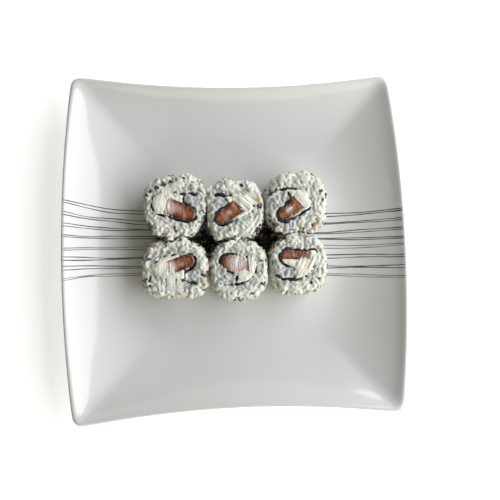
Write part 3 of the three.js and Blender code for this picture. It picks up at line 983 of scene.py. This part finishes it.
SESAME = {
    # Some black clusters sit at the edges of the gaps between the rolls and on the far left, as seeds and as
    # painted shade.
    "black": [
        (-62.2, 34.2, 1, 3), (-58.8, 36.8, 0.8, 2), (-53.8, 39.5, 1.3, 4), (-49.4, 41.7, 1.3, 4),
        (-45, 43.4, 1, 2), (-36.9, 45.2, 1, 1), (-41.7, 35.9, 0.5, 1), (-61, 13.5, 2, 4),
        (-22.8, 22.1, 1, 2), (-44, 4.4, 7, 12), (4.2, 40, 1, 2), (-20.7, 29, 1, 1), (-0.5, 15.7, 0.5, 1),
        (18.3, 33.2, 1, 2), (14, 8.6, 2, 6), (-3, 3.5, 2, 2), (8, 4.5, 3, 4), (16, 25, 2, 5),
        (59.1, 35.4, 1, 2), (62.3, 32, 1, 2), (60.1, 28.4, 0.5, 1), (54.5, 18.2, 0.5, 1),
        (54.8, 14.4, 0.5, 1), (62.7, 18.8, 0.5, 1), (54.6, 3.5, 1.5, 2), (49.5, 7.8, 5, 14),
        (-64.6, -8, 5, 12), (-60.5, -25.4, 3.5, 6), (-26.7, -0.9, 1, 2), (-55.4, -11.8, 0.5, 1),
        (-23.6, -31.5, 0.5, 1), (-23.8, -21.4, 1.5, 3), (-19.1, -5, 1, 2), (-6.2, 3, 2, 4),
        (15.8, 0, 1, 2), (17.3, -28, 1.5, 3), (8.8, -35.5, 1, 1), (1.4, -38.6, 1, 2),
        (20.4, -13.5, 5, 8), (26.4, 1.7, 1, 1), (50.3, -28.7, 0.5, 1), (55.4, -25.4, 0.5, 1),
    ],
    "golden": [
        (-22.8, 42, 1, 2), (15, 30, 2, 4), (-49.8, 6.6, 1, 2), (-19.7, 30, 1, 2), (-31, 1.7, 1.5, 3),
        (-56.6, 0.4, 1.5, 2), (-61, -6.3, 0.5, 1), (-38.6, -34, 1, 2), (-23.9, -24.8, 2, 4),
        (-16.1, -3.1, 1.5, 2), (-12.6, 1.2, 1.5, 2), (-15.9, -31.3, 1.5, 2), (-17.7, -26.4, 1.5, 2),
        (55.4, 11, 2.5, 7), (59.6, 38.9, 0.5, 1), (19.8, 17.7, 1, 2), (42.9, 10.2, 1.5, 3),
        (25.3, 4.2, 1, 2), (30.2, 3.6, 1, 2), (25.8, -24.8, 1, 1), (51.3, -22.3, 0.5, 1),
        (21.4, -8, 1, 2), (60.9, -13.5, 1, 1),
    ],
}
SESAME_COLOUR = {
    "black": ((0.008, 0.008, 0.008, 1), (0.04, 0.035, 0.03, 1)),
    "golden": ((0.40, 0.23, 0.08, 1), (0.74, 0.53, 0.27, 1)),
}


def sown(draw, hit, normal):
    """One seed, laid on its flat side and kept under the ceiling."""
    long = SESAME_LONG * draw.uniform(0.85, 1.1)
    size = (long, SESAME_WIDE * draw.uniform(0.85, 1.1), SESAME_THICK)
    along = lean_of(draw, normal)
    axes = (along, normal.cross(along), normal)
    reach = sum(abs(axis.z) * full / 2 for axis, full in zip(axes, size))
    place = hit + normal * SESAME_PROUD
    place.z = min(place.z, CEILING - reach)
    return place, normal, along, size, draw.uniform(0, 1)


def rained(draw, body, x, y, radius):
    """Where a seed lands that falls at random in a disc: the place and its normal, or None."""
    start = Vector((*in_disc(draw, x, y, radius), ROLLS_HIGH + SESAME_ABOVE))
    hit, normal, _, _ = body.ray_cast(start, DOWN)
    return hit, normal


def stick_and_shade_chance(hit, share):
    """How likely a seed sticks at a place: most between the rolls, and more on the far left, where the
    mostly black seeds also stand as painted shade.
    """
    inner = max(0, 1 - math.hypot(hit.x / (66 * MM), (hit.y - 4 * MM) / (30 * MM)))
    return 0.16 + 0.9 * min(1, 2.2 * inner) * share + 0.25 * (hit.x < -60 * MM) * share


everything = tree_of(*rice_rolls.values(), *cheese_fills.values(), *salmon_strips.values())
floor = tree_of(*rice_rolls.values(), plate)
rolls_low = min(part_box(f"rice_{number}")[0].z for number in ROLLS)
sesame_shape = seed_shape("sesame", SESAME_TAPER, 0)
for colour, share in SESAME_SHARE.items():
    draw = np.random.default_rng(SESAME_SEED[colour])
    spots = []
    for x, y, radius, count in SESAME[colour]:
        for _ in range(count):
            hit, normal = rained(draw, everything, x, y, radius)
            if hit is not None:
                spots.append(sown(draw, hit, normal))
    for x, y, radius, count in GAP_SEEDS_AND_SHADE:
        for _ in range(int(count * SHARE_OF_GAP_SEEDS_AND_SHADE[colour])):
            hit, normal = rained(draw, floor, x, y, radius)
            if hit.z < rolls_low:
                spots.append(sown(draw, hit, normal))
    for number in ROLLS:
        low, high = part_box(f"rice_{number}")
        levels = (low.z + SIDE_MARGIN, high.z - SIDE_MARGIN)
        sides = side_hits(draw, everything, (low, high), levels, SIDE_SPREAD, SIDE_TRIES, 1.25, 0.3)
        for hit, normal in sides:
            if draw.uniform(0, 1) < stick_and_shade_chance(hit, share):
                spots.append(sown(draw, hit, normal))
    seeds = scatter(f"sesame_{colour}", [sesame_shape], spots)
    sesame_finish, tree, shader = new_material(
        f"sesame_{colour}", {"Roughness": 0.4, "Coat Weight": 0.2, "Coat Roughness": 0.3}
    )
    wire(tree, shader, {"Base Color": mixed(tree, painted(tree, "tone"), *SESAME_COLOUR[colour])})
    finished(seeds, sesame_finish, "rice")
